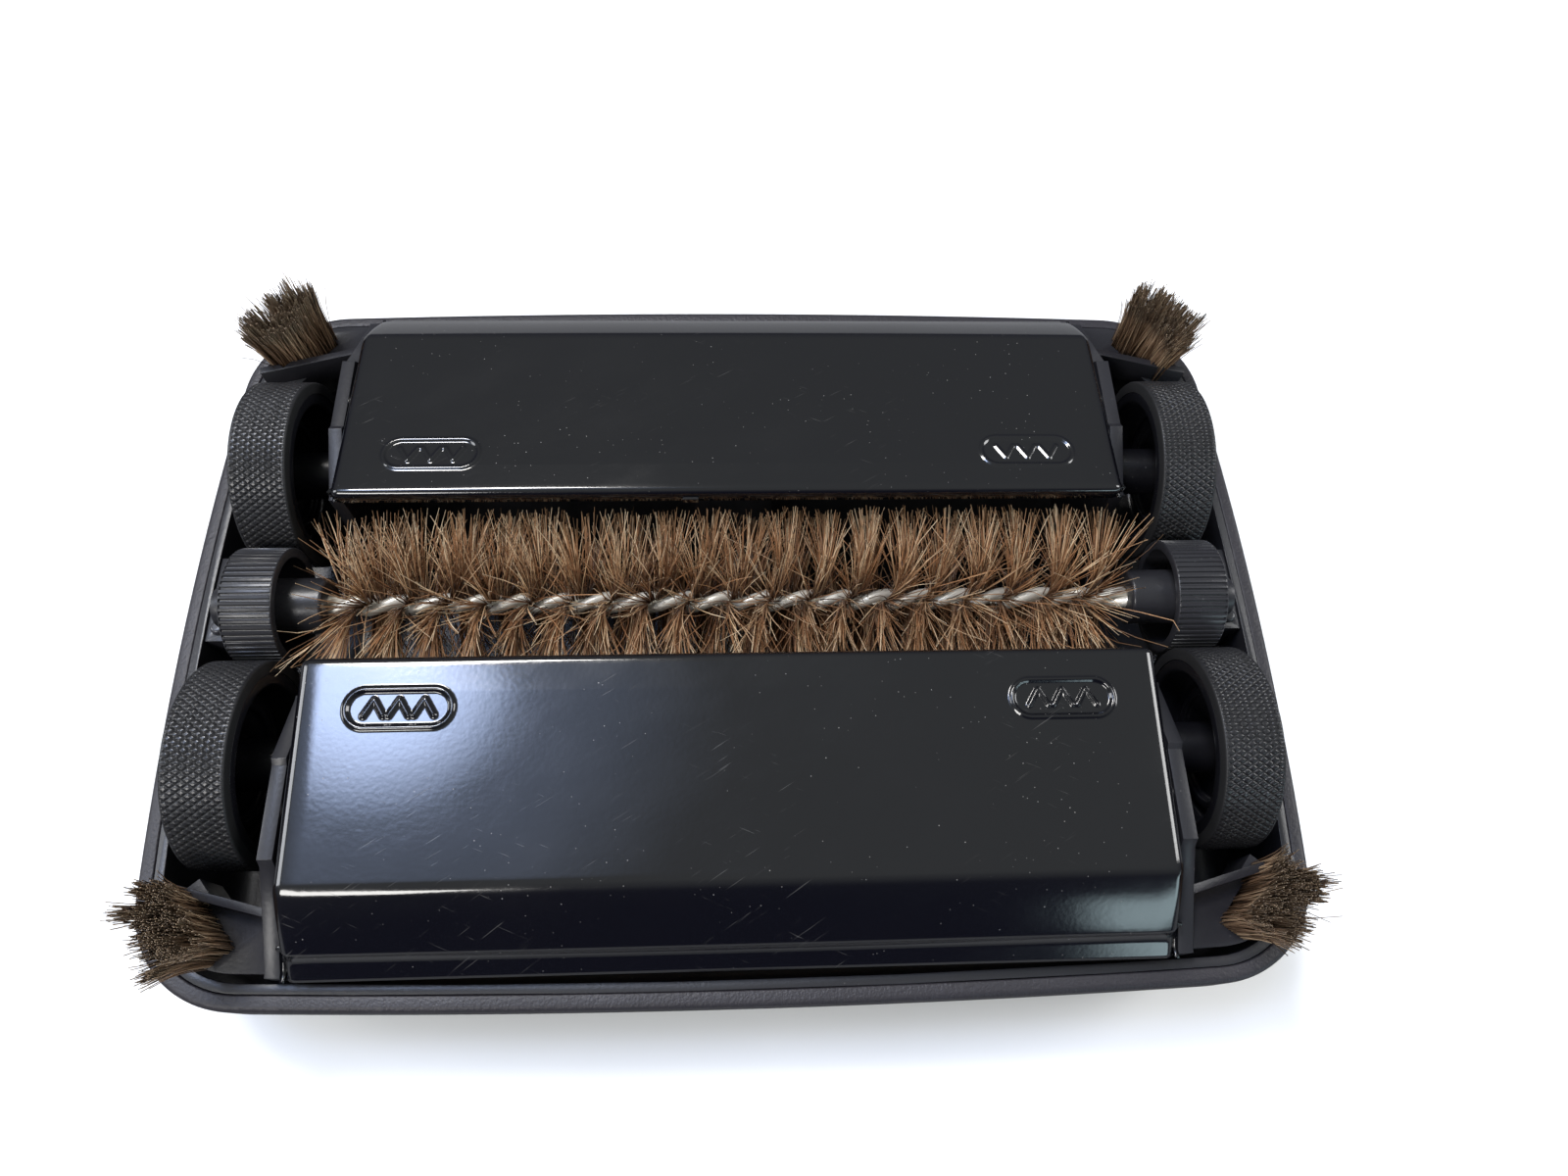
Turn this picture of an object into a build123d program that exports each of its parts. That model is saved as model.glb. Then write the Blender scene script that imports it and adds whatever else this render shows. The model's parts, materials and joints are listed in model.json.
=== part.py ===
from build123d import *
from math import cos, pi, radians, sin, sqrt
import os

os.makedirs("parts", exist_ok=True)

# Head of a manual carpet sweeper, lying on its back: X along its length, Y from front to rear, Z up.
# Z is 0 on the top of its case, which is the face that it rests on here. All sizes are in millimetres.

# Case and bumper
case_width = 290.0
case_depth = 200.0
rim_height = 38.0
side_bow = 4.75
front_bow = 3.1
corner_radius = 28.0
bumper_thick = 3.8
bumper_height = 13.0
bumper_edge_radius = 1.4
wall = 2.2
floor_thick = 2.6
crown_radius = 9.0

# Brush roll
brush_above_rim = 5.7
core_radius = 2.9
core_pin_gap = 5.5
collar_radius = 7.3
collar_reach = 9.0
bristle_radius = 20.8
bristle_end_gap = 1.0
roller_radius = 15.2
roller_width = 13.0
roller_bearing_gap = 3.9
roller_wall = 2.6
roller_web = 2.6
brush_pin_radius = 2.0
brush_pin_start = 1.0

# Wheels
wheel_above_rim = 2.4
wheel_radius = 25.6
wheel_width = 14.5
wheel_bearing_gap = 2.2
wheel_plate_gap = 7.2
tread_thick = 3.0
drive_gap = 0.3
hub_rim_thick = 3.2
hub_web_thick = 3.4
hub_web_inset = 8.4
hub_step_gap = 3.6
hub_step_height = 2.2
hub_step_thick = 2.2
hub_boss_thick = 3.5
hub_boss_gap = 0.45
axle_radius = 3.0
axle_clip_ring = 2.0
axle_clip_thick = 0.8
axle_groove_depth = 0.7
axle_tip = 0.8
running_clearance = 0.05

# End plates and their corner brackets
end_plate_thick = 3.5
end_plate_end_gap = 0.8
brush_notch_radius = 27.0
bracket_base_above_rim = 1.6
bracket_thick = 3.0
bracket_wall_height = 6.0
bracket_wall_thick = 2.0
bracket_inner_inset = 17.5
bracket_reach_inset = 24.5
bracket_wheel_gap = 4.3
bracket_case_gap = 1.8
socket_length = 16.5
socket_width = 5.0
socket_wall = 2.0
socket_depth = 12.0
socket_inset_y = 14.6
socket_turn = 50.0
tuft_height = 18.0
tuft_tip_length = 20.0
tuft_tip_width = 8.0
tuft_lean = 4.0
foot_plate_gap = 6.0
foot_inset_y = 19.5
foot_radius = 5.0
foot_height = 3.0
boss_height = 5.0
screw_radius = 1.7
screw_head_radius = 3.4
screw_head_height = 2.2
screw_length = 7.2

# Bearing brackets of the brush roll
bearing_wall_gap = 8.1
bearing_thick = 2.6
bearing_boss_radius = 5.0
bearing_boss_length = 2.0
bearing_front_y = -7.0
bearing_rear_y = 17.0
bearing_case_gap = 0.3
bearing_top_drop = 0.6
bearing_pad_depth = 14.0
bearing_screw_x = 4.9
bearing_screw_y = -3.4
bearing_screw_radius = 1.1
bearing_screw_head_radius = 1.9
bearing_screw_head_height = 1.5
bearing_screw_length = 9.0

# Dust pans
pan_end_gap = 1.1
pan_sheet = 1.2
pan_brush_gap = 0.8
pan_inner_above_rim = 25.9
pan_slope_run = 12.4
pan_fold_above_rim = 21.3
pan_flange_run = 5.3
pan_foot_above_rim = 11.5
pan_case_gap = 1.7
pan_lip_above_rim = 5.2
pan_bead_depth = 0.7
pan_inner_lip = 4.0
pan_pivot_inset = 18.6
pan_pivot_above_rim = 16.5
pan_pivot_margin = 8.0
pan_pin_radius = 1.75
pan_pin_length = 16.0
pan_pin_head_radius = 2.5
pan_pin_head = 0.8
spring_wire = 0.8
spring_clearance = 0.6
spring_rest_gap = 0.1
spring_end_gap = 1.2
spring_hook_depth = 1.8
spring_hole_radius = 0.6
spring_length = 6.5
spring_arm_reach = 10.5
spring_hook_reach = 8.0
spring_hook_above_rim = 3.0

# Handle socket and its groove
groove_side_gap = 1.6
groove_top_gap = 0.6
groove_wall = 2.2
groove_front_y = -13.5
handle_pivot_y = -2.0
handle_radius = 7.0
handle_eye_inset = 0.6
handle_lift = 0.6
handle_eye_overhang = 1.0
handle_wall = 2.0
handle_bore_depth = 30.0
handle_end_y = 42.0
handle_pin_radius = 2.5
handle_cheek = 3.0

# Values that follow from the sizes above
brush_z = rim_height + brush_above_rim
wheel_z = rim_height + wheel_above_rim
wheel_drop = brush_above_rim - wheel_above_rim
wheel_y = sqrt((wheel_radius + roller_radius + drive_gap) ** 2 - wheel_drop ** 2)
hub_step_radius = wheel_radius - tread_thick - hub_rim_thick - hub_step_gap
hub_boss_radius = axle_radius + hub_boss_thick
axle_clip_radius = axle_radius + axle_clip_ring

# Across the case, from its inner wall towards the middle
case_inner_x = case_width / 2 - bumper_thick - wall
bearing_x = case_inner_x - bearing_wall_gap
roller_inner_x = bearing_x - roller_bearing_gap - roller_width
brush_pin_inner_x = roller_inner_x + brush_pin_start
core_length = 2 * (brush_pin_inner_x - core_pin_gap)
collar_start = roller_inner_x - collar_reach
bristle_length = 2 * (collar_start - bristle_end_gap)
wheel_outer_x = bearing_x - wheel_bearing_gap
wheel_inner_x = wheel_outer_x - wheel_width
hub_web_x = wheel_inner_x + hub_web_inset
end_plate_outer_x = wheel_inner_x - wheel_plate_gap
end_plate_x = end_plate_outer_x - end_plate_thick
pan_half_width = end_plate_x - pan_end_gap
pan_pin_inner_x = end_plate_outer_x - pan_pin_length
bracket_reach_x = wheel_outer_x + bracket_wheel_gap
socket_centre_x = hub_web_x
foot_x = end_plate_outer_x + foot_plate_gap

# From the front or rear wall towards the middle
case_inner_y = case_depth / 2 - bumper_thick - wall
bracket_inner_y = case_inner_y - bracket_inner_inset
bracket_reach_y = case_inner_y - bracket_reach_inset
socket_centre_y = case_inner_y - socket_inset_y
foot_y = case_inner_y - foot_inset_y
pan_lip_y = case_inner_y - pan_case_gap
pan_foot_y = pan_lip_y - pan_flange_run
pan_fold_y = pan_foot_y - pan_slope_run
pan_inner_y = bristle_radius + pan_brush_gap
pan_pivot_y = pan_fold_y - pan_pivot_inset
pan_pivot_z = rim_height + pan_pivot_above_rim
spring_arm_y = pan_pivot_y + spring_arm_reach
spring_hook_y = pan_pivot_y + spring_hook_reach

# Top edge of an end plate: distance from the middle and height above the rim
end_plate_top = [
    (case_depth / 2, 4.6), (pan_lip_y - 2.3, 5.4), (bracket_inner_y, 12.6), (pan_fold_y - 6.1, 17.2),
    (pan_fold_y - 7.3, 19.4), (pan_pivot_y - 10.0, 19.8), (pan_pivot_y - 11.4, 20.8),
    (brush_notch_radius + 1.0, 13.4), (0.0, 13.4)]

# Handle and its groove
handle_z = handle_radius + handle_lift
handle_eye_radius = handle_radius - handle_eye_inset
handle_half_width = handle_radius + handle_eye_overhang
handle_bore_radius = handle_radius - handle_wall
groove_half_width = handle_radius + groove_side_gap
groove_depth = handle_z + handle_radius + groove_top_gap
sides = {"left": -1, "right": 1}
ends = {"front": -1, "rear": 1}


def plan(inset):
    """Outline of the case seen from above: four bowed sides with round corners, moved in by inset."""
    half_x = case_width / 2 - inset
    half_y = case_depth / 2 - inset
    corner_x = half_x - side_bow
    corner_y = half_y - front_bow
    corners = [(-corner_x, -corner_y), (corner_x, -corner_y), (corner_x, corner_y), (-corner_x, corner_y)]
    middles = [(0, -half_y), (half_x, 0), (0, half_y), (-half_x, 0)]
    arcs = [ThreePointArc(corners[i], middles[i], corners[(i + 1) % 4]) for i in range(4)]
    face = make_face(Wire(arcs))
    return fillet(face.vertices(), corner_radius - inset)


def slab(face, low, high):
    """A plan face carried from one height to another."""
    return Pos(0, 0, low) * extrude(face, high - low)


def rod(radius, start_x, end_x, y, z):
    """A round bar along X."""
    low = min(start_x, end_x)
    bar = Cylinder(radius, abs(end_x - start_x), align=(Align.CENTER, Align.CENTER, Align.MIN))
    return Pos(low, y, z) * Rot(0, 90, 0) * bar


def block(low, high):
    """A box between two corners."""
    size = [high[i] - low[i] for i in range(3)]
    return Pos(*low) * Box(*size, align=(Align.MIN, Align.MIN, Align.MIN))


def cavity(gap):
    """The space inside the case, kept a gap away from its walls, and open above the rim."""
    space = slab(plan(bumper_thick + wall + gap), floor_thick, case_depth)
    return fillet(space.faces().sort_by(Axis.Z)[0].edges(), crown_radius - wall)


def side_profile(points, start_x, end_x):
    """A closed outline of (y, z) points carried along X."""
    face = make_face(Polyline([(0, y, z) for y, z in points], close=True))
    return Pos(min(start_x, end_x), 0, 0) * extrude(face, abs(end_x - start_x), dir=(1, 0, 0))


def flip(shape, side, end):
    """The right rear piece moved to the given side and end by mirroring."""
    if side < 0:
        shape = mirror(shape, Plane.YZ)
    if end < 0:
        shape = mirror(shape, Plane.XZ)
    return shape


def save(shape, name):
    shape.label = name
    export_step(shape, f"parts/{name}.step")


def housing_shell():
    """The case: a tray with a round crown, and a groove in its top for the folded handle."""
    outer = slab(plan(bumper_thick), 0, rim_height)
    outer = fillet(outer.faces().sort_by(Axis.Z)[0].edges(), crown_radius)
    shell = outer - cavity(0)
    half = groove_half_width + handle_cheek
    tunnel = block((-half, groove_front_y - groove_wall, 0), (half, case_depth, groove_depth + groove_wall))
    shell += tunnel & outer
    groove = block((-groove_half_width, groove_front_y, -1), (groove_half_width, case_depth, groove_depth))
    shell -= groove
    shell -= rod(handle_pin_radius, -half, half, handle_pivot_y, handle_z)
    for side in sides.values():
        for end in ends.values():
            top = floor_thick + boss_height
            boss = Pos(side * foot_x, end * foot_y, floor_thick) * Cylinder(
                foot_radius, boss_height, align=(Align.CENTER, Align.CENTER, Align.MIN))
            hole = Pos(side * foot_x, end * foot_y, top) * Cylinder(
                screw_radius, screw_length - foot_height, align=(Align.CENTER, Align.CENTER, Align.MAX))
            shell = shell + boss - hole
    return shell


def bumper_band():
    """A band round the rim, outside the case."""
    low = rim_height - bumper_height
    band = slab(plan(0), low, rim_height)
    edges = band.faces().sort_by(Axis.Z)[0].edges() + band.faces().sort_by(Axis.Z)[-1].edges()
    band = fillet(edges, bumper_edge_radius)
    return band - slab(plan(bumper_thick), low - 1, rim_height + 1)


def end_plate():
    """Right end plate, with a corner bracket, a tuft socket and a screw foot at each end."""
    half = [(0, floor_thick), (case_depth / 2, floor_thick)]
    half += [(y, rim_height + z) for y, z in end_plate_top]
    whole = half + [(-y, z) for y, z in reversed(half[1:-1])]
    plate = side_profile(whole, end_plate_x, end_plate_outer_x) & cavity(end_plate_end_gap)
    notch = rod(brush_notch_radius, end_plate_x - 1, end_plate_outer_x + 1, 0, brush_z)
    mouth = block((end_plate_x - 1, -brush_notch_radius, brush_z),
                  (end_plate_outer_x + 1, brush_notch_radius, case_depth))
    plate -= notch + mouth
    for end in ends.values():
        plate += flip(corner_bracket(), 1, end)
        plate -= rod(axle_radius, end_plate_x, end_plate_outer_x, end * wheel_y, wheel_z)
        plate -= rod(pan_pin_radius, end_plate_x, end_plate_outer_x, end * pan_pivot_y, pan_pivot_z)
        plate -= rod(spring_hole_radius, end_plate_x, end_plate_x + spring_hook_depth, end * spring_hook_y,
                     rim_height + spring_hook_above_rim)
    return plate


def bracket_outline():
    """Plan of a corner bracket: from the end plate to the corner of the case."""
    corner = plan(bumper_thick + wall + bracket_case_gap)
    points = [
        (end_plate_outer_x, bracket_inner_y), (bracket_reach_x, bracket_reach_y),
        (case_width, bracket_reach_y), (case_width, case_depth), (end_plate_outer_x, case_depth)]
    return make_face(Polyline(*points, close=True)) & corner


def corner_bracket():
    """Rear right corner bracket: a shelf, a wall along its inner edge, a socket for the tuft and a foot."""
    base = rim_height + bracket_base_above_rim
    outline = bracket_outline()
    shelf = slab(outline, base, base + bracket_thick)
    run = (bracket_reach_x - end_plate_outer_x, bracket_reach_y - bracket_inner_y)
    length = sqrt(run[0] ** 2 + run[1] ** 2)
    across = (-run[1] / length * bracket_wall_thick, run[0] / length * bracket_wall_thick)
    strip = [(end_plate_outer_x, bracket_inner_y), (bracket_reach_x, bracket_reach_y),
             (bracket_reach_x + across[0], bracket_reach_y + across[1]),
             (end_plate_outer_x, bracket_inner_y + bracket_wall_thick * length / run[0])]
    wall_face = make_face(Polyline(*strip, close=True)) & outline
    shelf += slab(wall_face, base, base + bracket_thick + bracket_wall_height)
    place = Pos(socket_centre_x, socket_centre_y, base + bracket_thick) * Rot(0, 0, -socket_turn)
    cup = Box(socket_length + 2 * socket_wall, socket_width + 2 * socket_wall, socket_depth,
              align=(Align.CENTER, Align.CENTER, Align.MAX))
    shelf += (place * cup) & cavity(bracket_case_gap)
    shelf -= corner_tuft()
    foot_low = floor_thick + boss_height
    foot = Pos(foot_x, foot_y, foot_low) * Cylinder(foot_radius, foot_height,
                                                    align=(Align.CENTER, Align.CENTER, Align.MIN))
    foot += block((end_plate_outer_x, foot_y - foot_radius, foot_low),
                  (foot_x, foot_y + foot_radius, foot_low + foot_height))
    foot -= Pos(foot_x, foot_y, foot_low) * Cylinder(screw_radius, foot_height,
                                                     align=(Align.CENTER, Align.CENTER, Align.MIN))
    return shelf + foot


def corner_tuft():
    """Rear right corner tuft: a bundle of hair that widens and leans out over the corner."""
    base = rim_height + bracket_base_above_rim + bracket_thick
    low = base - socket_depth + socket_wall
    turn = Rot(0, 0, -socket_turn)
    foot = Pos(socket_centre_x, socket_centre_y, low) * turn * Box(
        socket_length, socket_width, base - low, align=(Align.CENTER, Align.CENTER, Align.MIN))
    lean_x = tuft_lean * sin(radians(socket_turn))
    lean_y = tuft_lean * cos(radians(socket_turn))
    start = Pos(socket_centre_x, socket_centre_y, base) * turn * Rectangle(socket_length, socket_width)
    tip = Pos(socket_centre_x + lean_x, socket_centre_y + lean_y, base + tuft_height) * turn * Rectangle(
        tuft_tip_length, tuft_tip_width)
    return foot + loft([start, tip])


def wheel_tread():
    """Right rear tread: a plain ring; its knurl is finished on the surface."""
    outer = wheel_inner_x + wheel_width
    ring = rod(wheel_radius, wheel_inner_x, outer, wheel_y, wheel_z)
    ring = chamfer(ring.edges().filter_by(GeomType.CIRCLE), 0.5)
    return ring - rod(wheel_radius - tread_thick, wheel_inner_x, outer, wheel_y, wheel_z)


def wheel_hub():
    """Right rear hub: a rim, a web towards its outer face, a step on the web and a boss for the axle."""
    outer = wheel_inner_x + wheel_width
    rim_radius = wheel_radius - tread_thick
    web_end = hub_web_x + hub_web_thick
    hub = rod(rim_radius, wheel_inner_x, outer, wheel_y, wheel_z)
    hub -= rod(rim_radius - hub_rim_thick, wheel_inner_x, hub_web_x, wheel_y, wheel_z)
    hub -= rod(rim_radius - hub_rim_thick, web_end, outer, wheel_y, wheel_z)
    step = rod(hub_step_radius, hub_web_x - hub_step_height, hub_web_x, wheel_y, wheel_z)
    hub += step
    hub -= rod(hub_step_radius - hub_step_thick, hub_web_x - hub_step_height, hub_web_x, wheel_y, wheel_z)
    hub += rod(hub_boss_radius, end_plate_outer_x + hub_boss_gap, web_end, wheel_y, wheel_z)
    hub -= rod(axle_radius + running_clearance, end_plate_outer_x, web_end, wheel_y, wheel_z)
    return hub


def axle_end_x():
    return hub_web_x + hub_web_thick + running_clearance + axle_clip_thick + axle_tip


def wheel_axle():
    """Right rear axle: pressed in the end plate, with a groove for its ring."""
    groove_x = hub_web_x + hub_web_thick + running_clearance
    axle = rod(axle_radius, end_plate_x, axle_end_x(), wheel_y, wheel_z)
    groove = rod(axle_radius, groove_x, groove_x + axle_clip_thick, wheel_y, wheel_z)
    groove -= rod(axle_radius - axle_groove_depth, groove_x, groove_x + axle_clip_thick, wheel_y, wheel_z)
    return axle - groove


def axle_clip():
    """Right rear retaining ring, open on one side."""
    start = hub_web_x + hub_web_thick + running_clearance
    ring = rod(axle_clip_radius, start, start + axle_clip_thick, wheel_y, wheel_z)
    ring -= rod(axle_radius - axle_groove_depth, start, start + axle_clip_thick, wheel_y, wheel_z)
    opening = 2 * (axle_radius - axle_groove_depth) * 0.9
    slot = block((start, wheel_y - opening / 2, wheel_z), (start + axle_clip_thick, wheel_y + opening / 2,
                                                           wheel_z + axle_clip_radius))
    return ring - slot


def roller():
    """Right roller: a ring, a web at its outer face and a collar that takes the brush's core."""
    outer = roller_inner_x + roller_width
    web_x = outer - roller_web
    body = rod(roller_radius, roller_inner_x, outer, 0, brush_z)
    body = chamfer(body.edges().filter_by(GeomType.CIRCLE), 0.4)
    body -= rod(roller_radius - roller_wall, roller_inner_x - 1, web_x, 0, brush_z)
    body += rod(collar_radius, collar_start, web_x, 0, brush_z)
    body -= rod(core_radius, collar_start, core_length / 2, 0, brush_z)
    body -= rod(brush_pin_radius, brush_pin_inner_x, outer, 0, brush_z)
    return body


def brush_pin():
    """Right pin of the brush roll: pressed in the roller, running in the bearing bracket."""
    return rod(brush_pin_radius, brush_pin_inner_x, bearing_x + bearing_thick, 0, brush_z)


def bristles():
    """The dense part of the hair fan, as one sleeve round the core."""
    half = bristle_length / 2
    return rod(bristle_radius, -half, half, 0, brush_z) - rod(core_radius, -half, half, 0, brush_z)


def bearing_bracket():
    """Right bearing bracket: an upright plate with a boss for the pin, and a pad on the case's wall."""
    top = rim_height - bearing_top_drop
    low = top - bearing_pad_depth
    plate = block((bearing_x, bearing_front_y, low), (bearing_x + bearing_thick, bearing_rear_y, top))
    outer_x = bearing_x + bearing_thick
    neck = block((bearing_x, -bearing_boss_radius, low), (outer_x, bearing_boss_radius, brush_z))
    eye = rod(bearing_boss_radius, bearing_x - bearing_boss_length, bearing_x + bearing_thick, 0, brush_z)
    pad = block((bearing_x, bearing_front_y, low), (case_width, bearing_rear_y, top))
    pad = pad & cavity(bearing_case_gap)
    slot = block((bearing_x + bearing_thick, bearing_front_y + 8.0, low - 1),
                 (case_width / 2 - bumper_thick - wall - 2.0, bearing_rear_y - 2.0, top - 2.0))
    bracket = plate + neck + eye + pad - slot
    bracket -= rod(brush_pin_radius + running_clearance, bearing_x - bearing_boss_length,
                   bearing_x + bearing_thick, 0, brush_z)
    hole_x = bearing_x + bearing_screw_x
    hole = Pos(hole_x, bearing_screw_y, top) * Cylinder(
        bearing_screw_radius, bearing_screw_length, align=(Align.CENTER, Align.CENTER, Align.MAX))
    return bracket - hole


def bearing_screw():
    """The screw in the right bearing bracket, with a domed head."""
    top = rim_height - bearing_top_drop
    place = Pos(bearing_x + bearing_screw_x, bearing_screw_y, top)
    shank = Cylinder(bearing_screw_radius, bearing_screw_length,
                     align=(Align.CENTER, Align.CENTER, Align.MAX))
    head = Cylinder(bearing_screw_head_radius, bearing_screw_head_height,
                    align=(Align.CENTER, Align.CENTER, Align.MIN))
    head = fillet(head.faces().sort_by(Axis.Z)[-1].edges(), bearing_screw_head_height * 0.6)
    return place * (shank + head)


def pan_sheet_path():
    """The outer face of a pan's sheet, from its inner edge to its outer lip, as (y, z) points."""
    foot_z = rim_height + pan_foot_above_rim
    return [(pan_inner_y, rim_height + pan_inner_above_rim), (pan_fold_y, rim_height + pan_fold_above_rim),
            (pan_foot_y, foot_z), (pan_foot_y + pan_bead_depth, foot_z - 2 * pan_bead_depth),
            (pan_lip_y, rim_height + pan_lip_above_rim)]


def dust_pan():
    """Rear dust pan: a folded sheet with an inner lip and an end wall at each side."""
    path = pan_sheet_path()
    steps_in = [(1.0, 1.0), (-0.5, 1.0), (-1.0, 0.6), (-1.0, 1.0), (-1.0, 0.2)]
    under = [(y + pan_sheet * a, z - pan_sheet * b) for (y, z), (a, b) in zip(path, steps_in)]
    under.reverse()
    lip_z = path[0][1] - pan_inner_lip
    lip = [(pan_inner_y + pan_sheet, lip_z), (pan_inner_y, lip_z)]
    sheet = side_profile(path + under + lip, -pan_half_width, pan_half_width)
    pivot_low_z = pan_pivot_z - pan_pivot_margin
    end_wall = path + [
        (pan_lip_y - 1.6, path[4][1] - 0.4), (84.0, pivot_low_z - 0.5), (75.0, pivot_low_z + 1.5),
        (pan_pivot_y, pivot_low_z), (40.0, pivot_low_z + 1.5)] + lip
    for side in sides.values():
        inner_x = side * (pan_half_width - pan_sheet)
        outer_x = side * pan_half_width
        sheet += side_profile(end_wall, inner_x, outer_x)
        sheet -= rod(pan_pin_radius + running_clearance, inner_x, outer_x, pan_pivot_y, pan_pivot_z)
    return sheet


def pan_pin():
    """Right rear pivot pin: pressed in the end plate, with a small head at its inner end."""
    start_x = pan_pin_inner_x
    pin = rod(pan_pin_radius, start_x, end_plate_outer_x, pan_pivot_y, pan_pivot_z)
    return pin + rod(pan_pin_head_radius, start_x - pan_pin_head, start_x, pan_pivot_y, pan_pivot_z)


def wire_bar(start, end):
    """A straight length of spring wire, as a square bar."""
    line = Vector(*end) - Vector(*start)
    bar = Box(spring_wire, spring_wire, line.length, align=(Align.CENTER, Align.CENTER, Align.MIN))
    return Plane(origin=start, z_dir=line) * bar


def pan_spring():
    """Right rear return spring: a coil round the pin, an arm under the pan and a hook in the end plate."""
    inner = pan_pin_radius + spring_clearance
    outer = inner + spring_wire
    middle = inner + spring_wire / 2
    start_x = pan_pin_inner_x + spring_end_gap
    end_x = start_x + spring_length
    coil = rod(outer, start_x, end_x, pan_pivot_y, pan_pivot_z)
    coil -= rod(inner, start_x, end_x, pan_pivot_y, pan_pivot_z)
    rise = (pan_inner_above_rim - pan_fold_above_rim) / (pan_fold_y - pan_inner_y)
    sheet_z = rim_height + pan_inner_above_rim - rise * (spring_arm_y - pan_inner_y) - pan_sheet
    arm_x = start_x + spring_wire
    arm_z = sheet_z - spring_wire - spring_rest_gap
    arm = wire_bar((arm_x, pan_pivot_y, pan_pivot_z + middle), (arm_x, spring_arm_y, arm_z))
    hook_x = end_x - spring_wire
    hook_z = rim_height + spring_hook_above_rim
    bend = (hook_x, spring_hook_y, hook_z)
    hook = wire_bar((hook_x, pan_pivot_y + middle * 0.8, pan_pivot_z - middle * 0.6), bend)
    tail = wire_bar(bend, (end_plate_x + spring_hook_depth, spring_hook_y, hook_z))
    return coil + arm + hook + tail


def handle_socket():
    """The socket that takes the handle: a round bar with a blind bore, and an eye for its pin."""
    length = handle_end_y - handle_pivot_y
    bar = Cylinder(handle_radius, length, align=(Align.CENTER, Align.CENTER, Align.MIN))
    bar = chamfer(bar.faces().sort_by(Axis.Z)[-1].edges(), 0.8)
    bar = Pos(0, handle_pivot_y, handle_z) * Rot(-90, 0, 0) * bar
    half = handle_half_width
    eye = rod(handle_eye_radius, -half, half, handle_pivot_y, handle_z)
    bore = Cylinder(handle_bore_radius, handle_bore_depth, align=(Align.CENTER, Align.CENTER, Align.MAX))
    bore = Pos(0, handle_end_y, handle_z) * Rot(-90, 0, 0) * bore
    hole = rod(handle_pin_radius + running_clearance, -half, half, handle_pivot_y, handle_z)
    return bar + eye - bore - hole


def handle_pin():
    half = groove_half_width + handle_cheek
    return rod(handle_pin_radius, -half, half, handle_pivot_y, handle_z)


def end_plate_screw():
    """Right rear screw that holds an end plate's foot to its boss."""
    head_z = floor_thick + boss_height + foot_height
    place = Pos(foot_x, foot_y, head_z)
    shank = Cylinder(screw_radius, screw_length, align=(Align.CENTER, Align.CENTER, Align.MAX))
    head = Cylinder(screw_head_radius, screw_head_height, align=(Align.CENTER, Align.CENTER, Align.MIN))
    head = fillet(head.faces().sort_by(Axis.Z)[-1].edges(), screw_head_height * 0.45)
    return place * (shank + head)


save(housing_shell(), "housing_shell")
save(bumper_band(), "bumper_band")
save(handle_socket(), "handle_socket")
save(handle_pin(), "handle_pin")
save(rod(core_radius, -core_length / 2, core_length / 2, 0, brush_z), "brush_core")
save(bristles(), "brush_bristles")

for side_name, side in sides.items():
    save(flip(end_plate(), side, 1), f"{side_name}_end_plate")
    save(flip(roller(), side, 1), f"{side_name}_roller")
    save(flip(brush_pin(), side, 1), f"{side_name}_brush_pin")
    save(flip(bearing_bracket(), side, 1), f"{side_name}_bearing_bracket")
    save(flip(bearing_screw(), side, 1), f"{side_name}_bearing_screw")

for end_name, end in ends.items():
    save(flip(dust_pan(), 1, end), f"{end_name}_dust_pan")
    for side_name, side in sides.items():
        corner = f"{end_name}_{side_name}"
        save(flip(corner_tuft(), side, end), f"{corner}_tuft")
        save(flip(wheel_hub(), side, end), f"{corner}_wheel_hub")
        save(flip(wheel_tread(), side, end), f"{corner}_wheel_tread")
        save(flip(wheel_axle(), side, end), f"{corner}_axle")
        save(flip(pan_pin(), side, end), f"{corner}_pan_pin")
        save(flip(pan_spring(), side, end), f"{corner}_pan_spring")

corners = [(side, end) for side in sides.values() for end in ends.values()]
save(Compound(children=[flip(axle_clip(), side, end) for side, end in corners]), "axle_clips")
save(Compound(children=[flip(end_plate_screw(), side, end) for side, end in corners]), "end_plate_screws")
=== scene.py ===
# Carpet sweeper head lying on its back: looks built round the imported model.
# Lengths in the dictionaries are in mm, turns in degrees, lengths in materials and in the room in metres.
import json
from math import cos, pi, radians, sin, sqrt, tan

import bmesh
import bpy
import numpy as np
from mathutils import Matrix, Vector

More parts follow.
